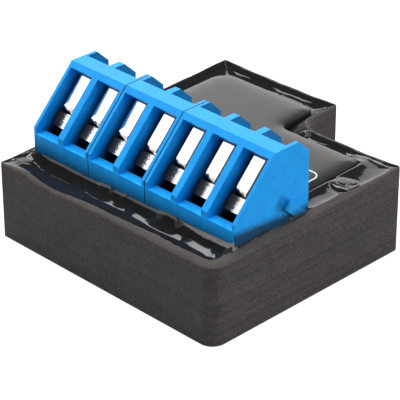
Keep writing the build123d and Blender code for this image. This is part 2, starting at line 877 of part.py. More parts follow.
def chip_antenna():
    return flat_part(aerial_row_x(), front + antenna_row, antenna_length, antenna_width, antenna_height)


def ceramic_capacitors():
    # a short row in front of the antenna
    x, y, step = aerial_row_x(), front + aerial_row, chip_length + part_gap
    chips = [flat_part(x + index * step, y, chip_length, chip_width, chip_height)
             for index in range(chip_count)]
    return Compound(children=chips)


small_parts = {
    "smoothing_capacitor": smoothing_capacitor,
    "power_choke": power_choke,
    "varistor": varistor,
    "fusible_resistor": fusible_resistor,
    "rectifier_bridge": rectifier_bridge,
    "converter_chip": converter_chip,
    "input_optocouplers": input_optocouplers,
    "radio_chip": radio_chip,
    "radio_crystal": radio_crystal,
    "memory_chip": memory_chip,
    "chip_antenna": chip_antenna,
    "voltage_regulator": voltage_regulator,
    "relay_transistors": relay_transistors,
    "coil_diodes": coil_diodes,
    "ceramic_capacitors": ceramic_capacitors,
}

relay_pieces = {
    "cover": relay_cover,
    "base": relay_base_plate,
    "coil": relay_coil,
    "yoke": relay_yoke,
    "armature": relay_armature,
    "contacts": relay_contacts,
    "pins": relay_pins,
}


def embedded_shapes():
    # what the lower pour flows round
    shapes = [board_blank()]
    pin_y, _ = pin_place()
    for pole in range(pole_count):
        x = pole_x(pole)
        shapes.append(box_from((x - pin_width / 2, x + pin_width / 2),
                               (pin_y - pin_thickness / 2, pin_y + pin_thickness / 2),
                               (board_height - pin_below_board, board_top)))
    for origin in relay_origins():
        shapes.append(relay_envelope(origin))
        shapes += list(relay_pins(origin).solids())
    for make in small_parts.values():
        shapes += list(make().solids())
    for x, y in post_corners():
        shapes.append(box_from(post_limits(x, 0), post_limits(y, 0), (case_floor, board_height)))
    return shapes


def build_all():
    nodes = {"case": case(), "circuit_board": circuit_board(), "potting_fill": pour_fill(),
             "potting_top": pour_top(), "label_plate": label_plate()}
    first = 0
    for name, poles in zip(("left", "middle", "right"), poles_per_block):
        nodes[f"terminal_block_{name}"] = housing(first, poles)
        first += poles
    for pole in range(pole_count):
        x = pole_x(pole)
        nodes[f"clamp_screw_{pole + 1}"] = clamp_screw(x)
        nodes[f"clamp_cage_{pole + 1}"] = clamp_cage(x)
        nodes[f"contact_bar_{pole + 1}"] = contact_bar(x)
    for index, origin in enumerate(relay_origins()):
        for piece, make in relay_pieces.items():
            nodes[f"relay_{index + 1}_{piece}"] = make(origin)
    for name, make in small_parts.items():
        nodes[name] = make()
    return nodes


os.makedirs("parts", exist_ok=True)
for name, shape in build_all().items():
    export_step(shape, f"parts/{name}.step")
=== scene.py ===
import json
import math

import bpy
import numpy as np
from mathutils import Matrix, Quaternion, Vector


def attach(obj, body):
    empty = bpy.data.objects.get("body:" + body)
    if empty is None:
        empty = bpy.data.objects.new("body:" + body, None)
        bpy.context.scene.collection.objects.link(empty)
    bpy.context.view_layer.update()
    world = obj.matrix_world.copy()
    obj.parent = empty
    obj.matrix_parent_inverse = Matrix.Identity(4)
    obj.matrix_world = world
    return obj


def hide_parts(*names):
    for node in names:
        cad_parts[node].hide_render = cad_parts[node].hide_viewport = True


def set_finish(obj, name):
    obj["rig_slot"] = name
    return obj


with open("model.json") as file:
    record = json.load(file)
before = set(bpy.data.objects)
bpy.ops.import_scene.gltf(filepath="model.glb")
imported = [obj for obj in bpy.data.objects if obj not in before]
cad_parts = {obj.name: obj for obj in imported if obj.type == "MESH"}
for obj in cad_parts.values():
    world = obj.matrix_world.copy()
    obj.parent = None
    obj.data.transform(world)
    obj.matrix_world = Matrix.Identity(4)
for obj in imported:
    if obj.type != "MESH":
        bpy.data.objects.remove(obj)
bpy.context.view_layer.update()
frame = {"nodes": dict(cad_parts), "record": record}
mm = 0.001
polePitch = 5.0
nodes = frame["nodes"]

print("camera")

cameraSpec = {
    "azimuth": 45.38,  # degrees to the right of the terminal side
    "elevation": 28.86,
    "roll": -0.1146,
    "distance": 262.5,
    "aim": (-3.11, 0.02, 5.25),
    "lens": 187.29,
    "shift": (-0.00537, -0.03055),
    "clip": (10, 20000),
}


def makeCamera(spec):
    turn, lift = math.radians(spec["azimuth"]), math.radians(spec["elevation"])
    level = math.cos(lift)
    back = Vector((math.sin(turn) * level, -math.cos(turn) * level, math.sin(lift)))
    data = bpy.data.cameras.new("photoCamera")
    data.lens = spec["lens"]
    data.shift_x, data.shift_y = spec["shift"]
    data.clip_start, data.clip_end = (reach * mm for reach in spec["clip"])
    camera = bpy.data.objects.new("photoCamera", data)
    bpy.context.scene.collection.objects.link(camera)
    camera.rotation_mode = "QUATERNION"
    camera.location = Vector(spec["aim"]) * mm + back * spec["distance"] * mm
    camera.rotation_quaternion = (-back).to_track_quat("-Z", "Y")
    camera.rotation_quaternion @= Quaternion((0, 0, 1), math.radians(spec["roll"]))
    bpy.context.scene.camera = camera


makeCamera(cameraSpec)
bpy.context.scene.view_settings.view_transform = "Standard"

print("shader tools")


class Wire:  # a shader value that plain arithmetic works on
    def __init__(self, paint, socket):
        self.paint = paint
        self.socket = socket

    def combine(self, operation, first, second):
        return self.paint.node("Math", {"operation": operation}, {0: first, 1: second})

    def __add__(self, other):
        return self.combine("ADD", self, other)

    def __radd__(self, other):
        return self.combine("ADD", other, self)

    def __sub__(self, other):
        return self.combine("SUBTRACT", self, other)

    def __rsub__(self, other):
        return self.combine("SUBTRACT", other, self)

    def __mul__(self, other):
        return self.combine("MULTIPLY", self, other)


class Paint:  # a node tree under construction
    def __init__(self, tree):
        self.tree = tree
        tree.nodes.clear()

    def node(self, kind, settings=None, inputs=None, output=0):
        made = self.tree.nodes.new("ShaderNode" + kind)
        for key, value in (settings or {}).items():
            if key == "stops":
                self.fillRamp(made.color_ramp, value)
            else:
                setattr(made, key, value)
        for key, value in (inputs or {}).items():
            if isinstance(value, Wire):
                self.tree.links.new(value.socket, made.inputs[key])
            else:
                made.inputs[key].default_value = value
        return Wire(self, made.outputs[output]) if made.outputs else None

    def fillRamp(self, ramp, stops):
        while len(ramp.elements) > 1:
            ramp.elements.remove(ramp.elements[-1])
        ramp.elements[0].position, ramp.elements[0].color = stops[0][0], (*stops[0][1], 1)
        for place, colour in stops[1:]:
            ramp.elements.new(place).color = (*colour, 1)

    def spot(self):  # the place on the piece, which moves with it
        return self.node("TexCoord", output="Object")

    def axes(self, names):
        return [self.node("SeparateXYZ", {}, {0: self.spot()}, name) for name in names]

    def stretched(self, scale):
        return self.node("Mapping", inputs={"Vector": self.spot(), "Scale": scale})

    def noise(self, size, detail, roughness, place=None):
        sockets = {"Vector": place or self.spot(), "Scale": 1 / (size * mm),
                   "Detail": detail, "Roughness": roughness}
        return self.node("TexNoise", {}, sockets)

    def cells(self, size, randomness):
        sockets = {"Vector": self.spot(), "Scale": 1 / (size * mm), "Randomness": randomness}
        return self.node("TexVoronoi", {"feature": "F1"}, sockets, "Distance")

    def span(self, value, low, high, bottom=0.0, top=1.0):
        sockets = {"Value": value, "From Min": low, "From Max": high,
                   "To Min": bottom, "To Max": top}
        return self.node("MapRange", {"clamp": True}, sockets)

    def reach(self, value, edges, bottom=0.0, top=1.0):  # the same between two lengths
        return self.span(value, edges[0] * mm, edges[1] * mm, bottom, top)

    def stripe(self, value, rise, fall):  # 1 between the two edges, 0 outside them
        return self.span(value, *rise) * self.span(value, *fall, 1.0, 0.0)

    def poleShare(self, x, start):  # from 0 to 1 across each pole of the strip
        return self.node("Math", {"operation": "FRACT"}, {0: x * (1 / (polePitch * mm)) + start})

    def blend(self, share, first, second):
        sockets = {"Factor": share, 6: first, 7: second}
        return self.node("Mix", {"data_type": "RGBA"}, sockets, 2)

    def tint(self, colour, factor):  # the colour, lighter or darker by a plain factor
        plain = colour if isinstance(colour, Wire) else colour[:3]
        return self.node("VectorMath", {"operation": "SCALE"}, {0: plain, "Scale": factor})

    def bump(self, height, depth):
        return self.node("Bump", {}, {"Height": height, "Distance": depth * mm, "Strength": 1.0})


def material(name, build, **sockets):
    made = bpy.data.materials.new(name)
    made.use_nodes = True
    paint = Paint(made.node_tree)
    sockets.update(build(paint))
    shader = paint.node("BsdfPrincipled", {}, sockets)
    paint.node("OutputMaterial", {}, {"Surface": shader})
    return made


print("floor, backdrop and lamps")

stageSpec = {
    "floorSize": 4000.0,
    "floorColour": (0.42, 0.42, 0.42, 1),
    "floorRoughness": 0.9,
    "floorGlow": 0.80,  # lifts the floor to white for the camera, and its shadow stays
    "ambient": 0.25,
    "mirrorLow": (0.85, 0.85, 0.85),
    "mirrorHigh": (0.14, 0.14, 0.145),
    "mirrorStops": (0.40, 0.47, 0.56, 1.0),  # low up to the second, high from the third
}
lampSpecs = {
    "overheadBox": {"place": (-80, 130, 970), "size": 700, "power": 9.2},
    "rightBox": {"place": (900, 300, 420), "size": 560, "power": 5.7},
    "leftBox": {"place": (-800, -620, 330), "size": 600, "power": 3.4},
    "plateBox": {"place": (-350, -620, 700), "size": 480, "power": 0.98},
    "lensBox": {"place": (-620, 370, 690), "size": 240, "power": 1.70},
    "backBox": {"place": (-760, 760, 380), "size": 560, "power": 1.9},
}


def makeFloor(spec):
    half = spec["floorSize"] / 2 * mm
    corners = [(-half, -half, 0), (half, -half, 0), (half, half, 0), (-half, half, 0)]
    mesh = bpy.data.meshes.new("floor")
    mesh.from_pydata(corners, [], [(0, 1, 2, 3)])
    floor = bpy.data.objects.new("floor", mesh)
    bpy.context.scene.collection.objects.link(floor)
    made = bpy.data.materials.new("paleFloor")
    made.use_nodes = True
    paint = Paint(made.node_tree)
    seen = paint.node("LightPath", output="Is Camera Ray")
    shader = paint.node("BsdfPrincipled", {}, {
        "Base Color": spec["floorColour"], "Roughness": spec["floorRoughness"],
        "Specular IOR Level": 0.0, "Emission Color": (1, 1, 1, 1),
        "Emission Strength": seen * spec["floorGlow"]})
    paint.node("OutputMaterial", {}, {"Surface": shader})
    mesh.materials.append(made)


def makeWorld(spec):
    world = bpy.data.worlds.new("studio")
    world.use_nodes = True
    bpy.context.scene.world = world
    paint = Paint(world.node_tree)
    height = paint.node("SeparateXYZ", {}, {0: paint.node("TexCoord", output="Generated")}, "Z")
    tones = (spec["mirrorLow"],) * 2 + (spec["mirrorHigh"],) * 2
    stops = list(zip(spec["mirrorStops"], tones))
    mirror = paint.node("ValToRGB", {"stops": stops}, {0: height})
    camera = paint.node("LightPath", output="Is Camera Ray")
    glossy = paint.node("LightPath", output="Is Glossy Ray")
    through = paint.node("LightPath", output="Is Transmission Ray")
    soft = (spec["ambient"],) * 3 + (1,)
    look = paint.blend(glossy, soft, mirror)
    look = paint.blend(camera + through, look, (1, 1, 1, 1))
    shader = paint.node("Background", {}, {"Color": look, "Strength": 1.0})
    paint.node("OutputWorld", {}, {"Surface": shader})


def makeLamp(name, spec):
    data = bpy.data.lights.new(name, "AREA")
    data.shape = "SQUARE"
    data.size = spec["size"] * mm
    data.energy = spec["power"]
    lamp = bpy.data.objects.new(name, data)
    bpy.context.scene.collection.objects.link(lamp)
    lamp.location = Vector(spec["place"]) * mm
    lamp.rotation_mode = "QUATERNION"
    lamp.rotation_quaternion = (-lamp.location).to_track_quat("-Z", "Y")


makeFloor(stageSpec)
makeWorld(stageSpec)
for lampName, lampSpec in lampSpecs.items():
    makeLamp(lampName, lampSpec)

print("outline of the case")

rimSpec = {
    "low": (-18.65, -19.85), "high": (18.65, 19.85), "shoulder": 12.65, "arm": 1.75,
    "frontRadius": 2.0, "notchRadius": 3.0, "radius": 0.4,
    "height": 10.55, "riseRight": 0.53, "riseBack": 0.81,
    "edgeDrop": 0.42,  # outer edge of the rim below the line where the resin starts
    "insetWaver": (0.14, 1.7), "heightWaver": (0.05, 4.1),  # amount, seed
}
rimLow, rimHigh = rimSpec["low"], rimSpec["high"]
caseCorners = [  # anticlockwise from the front left corner: x, y, radius
    (*rimLow, rimSpec["radius"]),
    (rimHigh[0], rimLow[1], rimSpec["frontRadius"]),
    (rimHigh[0], rimSpec["shoulder"], rimSpec["radius"]),
    (rimSpec["arm"], rimSpec["shoulder"], rimSpec["notchRadius"]),
    (rimSpec["arm"], rimHigh[1], rimSpec["radius"]),
    (rimLow[0], rimHigh[1], rimSpec["radius"]),
]
contactStations = {  # for each side: share of it, inset and height of the resin's edge there
    0: [(0.0, 0.10, 0.0), (0.05, 0.34, 0.06), (0.12, 0.50, 0.22), (0.19, 0.55, -0.28),
        (0.27, 0.58, -0.42), (0.38, 0.66, -0.22), (0.50, 0.74, -0.04), (0.66, 0.86, -0.04),
        (0.82, 1.02, -0.08), (0.94, 1.15, -0.12)],
    1: [(0.05, 1.20, -0.14), (0.2, 1.22, -0.10), (0.52, 1.18, -0.02), (0.62, 0.85, 0.0),
        (0.8, 0.50, 0.0)],
    2: [(0.0, 0.10, 0.08), (0.15, 0.32, 0.0), (0.5, 0.45, -0.05), (0.85, 0.50, 0.0)],
    3: [(0.1, 0.45, 0.0), (0.6, 0.40, -0.05), (0.95, 0.25, 0.0)],
    4: [(0.0, 0.16, 0.04), (0.2, 0.36, 0.0), (0.5, 0.42, -0.04), (0.85, 0.36, 0.0)],
    5: [(0.0, 0.16, 0.03), (0.2, 0.38, 0.0), (0.5, 0.45, -0.06), (0.8, 0.40, -0.02),
        (0.97, 0.18, 0.0)],
}


def rimPlane(x, y):
    right = (x - rimLow[0]) / (rimHigh[0] - rimLow[0])
    back = (y - rimLow[1]) / (rimHigh[1] - rimLow[1])
    return rimSpec["height"] + rimSpec["riseRight"] * right + rimSpec["riseBack"] * back


class Outline:  # a closed outline with rounded corners, with as many points at any inset
    def __init__(self, corners, step=0.45, arcSteps=10):
        self.corners = corners
        self.spots = []  # (side, share along it) or (corner, share of its turn)
        for index in range(len(corners)):
            self.spots += [("turn", index, share) for share in np.linspace(0, 1, arcSteps)]
            here, there = self.place(index, 1, 0), self.place(self.after(index), 0, 0)
            count = max(2, int(math.dist(here, there) / step))
            between = np.linspace(0, 1, count + 1)[1:-1]
            self.spots += [("side", index, share) for share in between]
        self.base = np.array([self.point(spot, 0) for spot in self.spots])
        steps = np.linalg.norm(np.roll(self.base, -1, 0) - self.base, axis=1)
        self.run = np.concatenate([[0], np.cumsum(steps)[:-1]])
        self.length = steps.sum()

    def after(self, index):
        return (index + 1) % len(self.corners)

    def heading(self, index):
        here = np.array(self.corners[index][:2])
        there = np.array(self.corners[self.after(index)][:2])
        return (there - here) / np.linalg.norm(there - here)

    def place(self, index, share, inset):
        x, y, radius = self.corners[index]
        before, ahead = self.heading(index - 1), self.heading(index)
        convex = before[0] * ahead[1] - before[1] * ahead[0] > 0
        reach = max(radius, inset) if convex else radius
        centre = np.array((x, y)) + (ahead - before) * reach
        first = np.array((before[1], -before[0]))
        second = np.array((ahead[1], -ahead[0]))
        turn = share * math.pi / 2
        normal = first * math.cos(turn) + second * math.sin(turn)
        return centre + normal * ((reach - inset) if convex else -(radius + inset))

    def point(self, spot, inset):
        kind, index, share = spot
        if kind == "turn":
            return self.place(index, share, inset)
        here, there = self.place(index, 1, inset), self.place(self.after(index), 0, inset)
        return here * (1 - share) + there * share

    def ring(self, insets, heights):  # a loop of points, each with its own inset and height
        insets = np.broadcast_to(insets, len(self.spots))
        flat = np.array([self.point(spot, inset) for spot, inset in zip(self.spots, insets)])
        if callable(heights):
            heights = heights(flat[:, 0], flat[:, 1])
        return np.column_stack([flat, np.broadcast_to(heights, len(flat))])

    def distance(self, x, y):  # to the outline, and the run along it of the nearest place
        least = 1e-9  # keeps a step of no length from dividing by zero
        best, run = np.full(x.shape, np.inf), np.zeros(x.shape)
        for first, step, place in zip(self.base, np.roll(self.base, -1, 0) - self.base, self.run):
            length = max(np.hypot(*step), least)
            along = ((x - first[0]) * step[0] + (y - first[1]) * step[1]) / length ** 2
            share = np.clip(along, 0, 1)
            gap = np.hypot(x - first[0] - share * step[0], y - first[1] - share * step[1])
            nearer = gap < best
            best = np.where(nearer, gap, best)
            run = np.where(nearer, place + share * length, run)
        return best, run


caseOutline = Outline(caseCorners)


def contactTable(outline, stations):  # run, inset and height of the resin's edge all round
    rows = []
    for side, marks in stations.items():
        start = outline.run[outline.spots.index(("turn", side, 1.0))]
        corner = ("turn", outline.after(side))
        end = outline.run[[spot[:2] for spot in outline.spots].index(corner)]
        end = end if end > start else outline.length
        rows += [(start + share * (end - start), inset, height) for share, inset, height in marks]
    rows.sort()
    return np.array(rows)


contactRows = contactTable(caseOutline, contactStations)
longWaves = ((11.0, 5.3, 2.1, 0.9), (1.0, 0.6, 0.25, 0.08))  # periods, strengths


def waver(run, seed, periods=longWaves[0], strengths=longWaves[1]):  # unevenness, −1 to 1
    waves = [strength * np.sin(run * 2 * math.pi / period + seed * (3 + place))
             for place, (period, strength) in enumerate(zip(periods, strengths))]
    return sum(waves) / sum(strengths)


def contactLine(run):  # inset and height of the resin's edge, with its unevenness
    inset, height = (np.interp(run, contactRows[:, 0], contactRows[:, column],
                               period=caseOutline.length) for column in (1, 2))
    insetAmount, insetSeed = rimSpec["insetWaver"]
    heightAmount, heightSeed = rimSpec["heightWaver"]
    inset = inset * (1 + insetAmount * waver(run, insetSeed))
    return inset, height + heightAmount * waver(run, heightSeed)


print("materials")

# A noise is its size, detail and roughness. A span of four is from, to and the value at each.
casePlastic = {
    "colour": (0.055, 0.0495, 0.0485, 1), "light": (0.16, 0.148, 0.142, 1),
    "rim": (0.078, 0.070, 0.066, 1), "roughness": (0.3, 0.7, 0.60, 0.80),
    "relief": 0.035, "speckRelief": 0.6, "lineRelief": 0.5,
    "layer": (1.15, 2.0, 0.5), "layerStretch": (0.05, 0.05, 1.0),
    "layerShade": (0.35, 0.65, 0.90, 1.08),
    "cloud": (2.4, 3.0, 0.6), "cloudShade": (0.3, 0.7, 0.90, 1.10),
    "speck": (0.13, 3.0, 0.75), "speckShade": (0.34, 0.60, 0.52, 1.14),
    "dots": (0.52, 0.70), "dotShare": 0.55,
    "lineScale": 0.3, "lineWave": {"Distortion": 1.1, "Detail": 2.0, "Detail Scale": 0.5},
    "lines": (0.88, 1.0), "lineShade": 0.23,
    "lineSide": (-1.6, -0.4), "lineFront": 0.3,  # weaker lines left of the right side
    "band": (-0.32, -0.04), "bandWaver": 0.3, "bandShare": 0.8,  # just under the rim
}


def caseFinish(paint):
    spec = casePlastic
    layers = paint.noise(*spec["layer"], paint.stretched(spec["layerStretch"]))
    lines = paint.node("TexWave", {"wave_type": "BANDS", "bands_direction": "Z"}, {
        "Vector": paint.spot(), "Scale": spec["lineScale"] / (spec["layer"][0] * mm),
        **spec["lineWave"]})
    specks = paint.noise(*spec["speck"])
    clouds = paint.noise(*spec["cloud"])
    x, y, z = paint.axes("XYZ")
    side = [rimHigh[0] + edge for edge in spec["lineSide"]]
    line = paint.span(lines, *spec["lines"]) * paint.reach(x, side, spec["lineFront"], 1.0)
    shade = paint.span(layers, *spec["layerShade"]) * paint.span(clouds, *spec["cloudShade"])
    shade = shade * paint.span(specks, *spec["speckShade"])
    shade = shade * (1 - line * spec["lineShade"])
    width, depth = (rimHigh[0] - rimLow[0]) * mm, (rimHigh[1] - rimLow[1]) * mm
    rise = (x - rimLow[0] * mm) * (rimSpec["riseRight"] * mm / width)
    rise = rise + (y - rimLow[1] * mm) * (rimSpec["riseBack"] * mm / depth)
    under = z - rise - rimSpec["height"] * mm  # height against the rim plane
    band = paint.reach(under + specks * (spec["bandWaver"] * mm), spec["band"])
    dots = paint.span(specks, *spec["dots"]) * spec["dotShare"]
    base = paint.blend(dots, spec["colour"], spec["light"])
    base = paint.blend(band * spec["bandShare"], base, spec["rim"])
    height = specks * spec["speckRelief"] + layers - line * spec["lineRelief"]
    return {"Base Color": paint.tint(base, shade),
            "Roughness": paint.span(specks, *spec["roughness"]),
            "Normal": paint.bump(height, spec["relief"])}


resinSpec = {
    "colour": (0.0105, 0.0105, 0.011, 1), "roughness": 0.035,
    "ripple": (2.6, 1.0, 0.4), "rippleDepth": 0.004,
    "haze": (0.9, 3.0, 0.6), "hazeShade": (0.3, 0.7, 0.85, 1.2), "hazeDull": 0.03,
    "foot": (0.22, 0.21, 0.20, 1), "footDull": 0.4,  # painted highlight: a light line where the resin meets the strip, standing in for the meniscus catching the light; it is also rougher there
    "footLine": -15.13, "footWidth": 0.06, "footEnd": (-14.7, -14.69),
    "footBend": (7.5, 13), "footRight": 0.42,  # it turns forward to the right
    "footFade": (-15, -9), "footLeft": 0.25,  # and is weaker at the left
    "crumb": (0.24, 3.0, 0.75), "crumbReach": 0.3, "footHighlightBreak": (0.40, 0.58, 0.55, 1.0),
}


def resinFinish(paint):
    spec = resinSpec
    waves, haze, crumbs = (paint.noise(*spec[key]) for key in ("ripple", "haze", "crumb"))
    x, y = paint.axes("XY")
    line = y + (crumbs - 0.5) * (spec["crumbReach"] * mm)
    line = line + paint.reach(x, spec["footBend"], 0.0, spec["footRight"] * mm)
    # Painted highlight along the strip's foot, made ragged by the crumb noise.
    foot = paint.reach(line, (spec["footLine"], spec["footLine"] + spec["footWidth"]))
    foot = foot * paint.reach(y, spec["footEnd"], 1.0, 0.0)
    foot = foot * paint.reach(x, spec["footFade"], spec["footLeft"], 1.0)
    foot = foot * paint.span(crumbs, *spec["footHighlightBreak"])
    base = paint.tint(spec["colour"], paint.span(haze, *spec["hazeShade"]))
    roughness = spec["roughness"] + haze * spec["hazeDull"] + foot * spec["footDull"]
    return {"Base Color": paint.blend(foot, base, spec["foot"]), "Roughness": roughness,
            "Normal": paint.bump(waves, spec["rippleDepth"])}


labelSpec = {
    "colour": (0.018, 0.018, 0.019, 1), "roughness": 0.20,
    "grain": (0.09, 2.0, 0.6), "relief": 0.0006,
    "cloud": (5.0, 2.0, 0.5), "cloudShade": (0.3, 0.7, 0.9, 1.15), "cloudDull": 0.05,
}


def labelFinish(paint):
    spec = labelSpec
    grain, clouds = (paint.noise(*spec[key]) for key in ("grain", "cloud"))
    shade = paint.span(clouds, *spec["cloudShade"])
    return {"Base Color": paint.tint(spec["colour"], shade),
            "Roughness": spec["roughness"] + clouds * spec["cloudDull"],
            "Normal": paint.bump(grain, spec["relief"])}


bluePlastic = {
    "colour": (0.004, 0.335, 0.86, 1), "shade": (0.002, 0.30, 0.79, 1), "roughness": 0.45,
    "grain": (0.10, 2.0, 0.6), "grainRelief": 0.5, "relief": 0.004,
    "flow": (2.2, 3.0, 0.55), "flowShare": (0.35, 0.65), "flowDull": 0.10,
    "smear": (0.8, 4.0, 0.7), "smearShade": (0.3, 0.7, 0.94, 1.06),
    "slopeFoot": (-15.09, 14.2), "slope": 46.5,
    "endFace": 17.3, "endEdge": 1.01, "barTop": (20.9, 21.0), "notch": (-7.2, -7.0),
    "well": (0.9, 2.8), "wellShade": 0.91,  # painted shade, darker deep in the openings
    "wallFacing": (0.5, 0.6), "notchShade": 0.5,
    "endFoot": (11.8, 12.8), "endTilt": 0.07, "endWaver": 0.6, "endShade": 0.85,
    "railShadow": ((-7.4, 13.9), (1.0, 1.2)), "railWaver": 1.6,  # painted shadow beside the rail's tab: centre and half sizes
    "railSpan": (0.7, 2.2, 1.0, 0.0), "railShade": 0.5,
    "low": (11.6, 12.8), "lowWaver": 1.2,  # darker in patches just above the resin
    "lowShade": (0.40, 0.62, 0.0, 0.45),
    "seams": (-7.5, 2.5), "seamReach": (0.05, 0.12), "seamShade": 0.7,
    "mark": ((0.43, 0.45), (0.55, 0.57)), "markFace": (-15.06, -15.04),
    "markWear": (0.35, 0.6, 0.3, 1.0), "markLight": 0.13,
    "ledgeDrop": 0.85, "edgeReach": (0.01, 0.04), "edgeHighlightBreak": (0.4, 0.6, 0.4, 1.0),
    "edgeHighlight": 0.5,
}


def slopePlace(paint):  # how far up the sloped face, and how far in from it
    y, z = paint.axes("YZ")
    footY, footZ = bluePlastic["slopeFoot"]
    lean = math.radians(bluePlastic["slope"])
    back, rise = y - footY * mm, z - footZ * mm
    return (back * math.cos(lean) + rise * math.sin(lean),
            back * math.sin(lean) - rise * math.cos(lean))


def blueShadeAndSeams(paint, smear):  # what is left of the colour under painted shade deep in the openings, on the notch walls, along the end faces' foot and beside the rail, under patchy darkening just above the resin, and at the dark seams
    spec = bluePlastic
    x, y, z = paint.axes("XYZ")
    endSquare = (spec["endFace"] * mm) ** 2
    ends = paint.span(x * x, endSquare, endSquare * spec["endEdge"])
    behind = paint.reach(y, spec["notch"])
    inside = (1 - ends) * (1 - behind) * paint.reach(z, spec["barTop"], 1.0, 0.0)
    inward = slopePlace(paint)[1]
    # Painted shade: darker the deeper inside the wire openings.
    unshaded = 1 - inside * paint.reach(inward, spec["well"], 0.0, spec["wellShade"])
    # Painted shade on the walls that face sideways, behind the notch.
    facing = paint.node("SeparateXYZ", {}, {
        0: paint.node("NewGeometry", {}, {}, "True Normal")}, "X")
    walls = paint.span(facing * facing, *spec["wallFacing"]) * behind
    unshaded = unshaded * (1 - walls * (1 - ends) * spec["notchShade"])
    # Painted shade along the foot of the end faces, just above the resin.
    footLine = z + y * spec["endTilt"] + smear * (spec["endWaver"] * mm)
    endFoot = paint.reach(footLine, spec["endFoot"], 1.0, 0.0)
    # Painted shadow beside the rail's tab.
    railY, railZ = ((value - place * mm) * (1 / (half * mm))
                    for value, place, half in zip((y, z), *spec["railShadow"]))
    fromRail = railY * railY + railZ * railZ + smear * spec["railWaver"]
    besideRail = paint.span(fromRail, *spec["railSpan"])
    unshaded = unshaded * (1 - ends * endFoot * spec["endShade"])
    unshaded = unshaded * (1 - ends * besideRail * spec["railShade"])
    low = paint.reach(z + smear * (spec["lowWaver"] * mm), spec["low"], 1.0, 0.0)
    unshaded = unshaded * (1 - low * paint.span(smear, *spec["lowShade"]))
    for seam in spec["seams"]:
        beside = x - seam * mm
        near, far = ((reach * mm) ** 2 for reach in spec["seamReach"])
        unshaded = unshaded * (1 - paint.span(beside * beside, near, far, spec["seamShade"], 0.0))
    return unshaded


def paleMarksAndHighlight(paint, smear):  # pale upright marks under the fins, and a painted highlight along the ledge's front edge
    spec = bluePlastic
    x, y, z = paint.axes("XYZ")
    mark = paint.stripe(paint.poleShare(x, 0.0), *spec["mark"])
    mark = mark * paint.reach(y, spec["markFace"], 1.0, 0.0)
    mark = mark * paint.span(smear, *spec["markWear"])
    # Painted highlight along the ledge's front edge, broken up by the smear noise.
    footY, footZ = spec["slopeFoot"]
    edgeY = (y - footY * mm) * (1 / mm)
    edgeZ = (z - (footZ - spec["ledgeDrop"]) * mm) * (1 / mm)
    edge = paint.span(edgeY * edgeY + edgeZ * edgeZ, *spec["edgeReach"], 1.0, 0.0)
    edge = edge * paint.span(smear, *spec["edgeHighlightBreak"])
    return 1 + mark * spec["markLight"] + edge * spec["edgeHighlight"]


def blueFinish(paint):
    spec = bluePlastic
    grain, flow, smear = (paint.noise(*spec[key]) for key in ("grain", "flow", "smear"))
    base = paint.blend(paint.span(flow, *spec["flowShare"]), spec["shade"], spec["colour"])
    # The base colour carries painted shade, and a painted highlight on the ledge's edge.
    factor = blueShadeAndSeams(paint, smear) * paint.span(smear, *spec["smearShade"])
    return {"Base Color": paint.tint(base, factor * paleMarksAndHighlight(paint, smear)),
            "Roughness": spec["roughness"] + flow * spec["flowDull"],
            "Normal": paint.bump(grain * spec["grainRelief"] + flow, spec["relief"])}


tinPlate = {
    "colour": (0.95, 0.945, 0.93, 1), "stainAndShade": (0.05, 0.055, 0.07, 1), "roughness": 0.14,
    "relief": 0.0008, "leftReflection": 0.35, "reflectionSpan": (0.10, 0.26), "bendReflection": 0.85,
    "lean": (0.20, 4.0), "crease": 0.595,
}
nickelPlate = {
    "colour": (0.80, 0.78, 0.75, 1), "stainAndShade": (0.055, 0.055, 0.06, 1), "roughness": 0.24,
    "relief": 0.004, "leftReflection": 0.40, "reflectionSpan": (0.30, 0.70), "bendReflection": 0.0,
    "lean": (0, 0), "crease": 2.0,  # a painted shadow line past 1 is none
}
zincPlate = {
    "colour": (0.74, 0.75, 0.77, 1), "stainAndShade": (0.42, 0.43, 0.45, 1), "roughness": 0.30,
    "relief": 0.004, "leftReflection": 0.0, "reflectionSpan": (0.3, 0.7), "bendReflection": 0.0,
    "lean": (0, 0), "crease": 2.0,
}
plateWearAndShade = {
    "patch": (4.0, 0.65),  # detail and roughness, since each metal has its own size
    "fine": (0.08, 2.0, 0.6), "fineShare": 0.4,
    "bend": (3.7, 4.9), "bendRight": (0.25, 0.80, 1.0, 0.35),
    "shadowLineRise": -0.02, "shadowLineFall": (0.06, 0.08), "stainEdge": 0.12, "stainDull": 0.18,
}


def plateFinish(spec, mottle, stain):
    def build(paint):
        wearAndShade = plateWearAndShade
        patches, fine = paint.noise(mottle, *wearAndShade["patch"]), paint.noise(*wearAndShade["fine"])
        x, = paint.axes("X")
        askew, turn = (share / spec["relief"] / mm for share in spec["lean"])
        crown = x * x * (turn / 2) - x * askew  # the plates stand a little askew
        across = paint.poleShare(x, 0.5)
        # Painted reflection: the left of each plate darker, where it would mirror the fin beside
        # it.
        toRight = paint.span(across, *spec["reflectionSpan"], -spec["leftReflection"], spec["leftReflection"])
        upward = slopePlace(paint)[0]
        # Painted dark reflection in the bend at the plate's lower end, strongest on its left.
        bend = paint.reach(upward, wearAndShade["bend"], spec["bendReflection"], 0.0)
        bend = bend * paint.span(across, *wearAndShade["bendRight"])
        # Painted shadow: a thin dark line near the plate's right edge, by the fin.
        line = spec["crease"]
        crease = paint.stripe(across, (line + wearAndShade["shadowLineRise"], line),
                              [line + edge for edge in wearAndShade["shadowLineFall"]])
        # Stains from the patch noise, and the painted reflection and shadow above, share the dark
        # colour.
        stainAndShade = paint.span(patches - toRight + bend + crease, stain, stain + wearAndShade["stainEdge"])
        height = fine * wearAndShade["fineShare"] + patches + crown
        return {"Base Color": paint.blend(stainAndShade, spec["colour"], spec["stainAndShade"]),
                "Roughness": spec["roughness"] + stainAndShade * wearAndShade["stainDull"],
                "Normal": paint.bump(height, spec["relief"])}
    return build


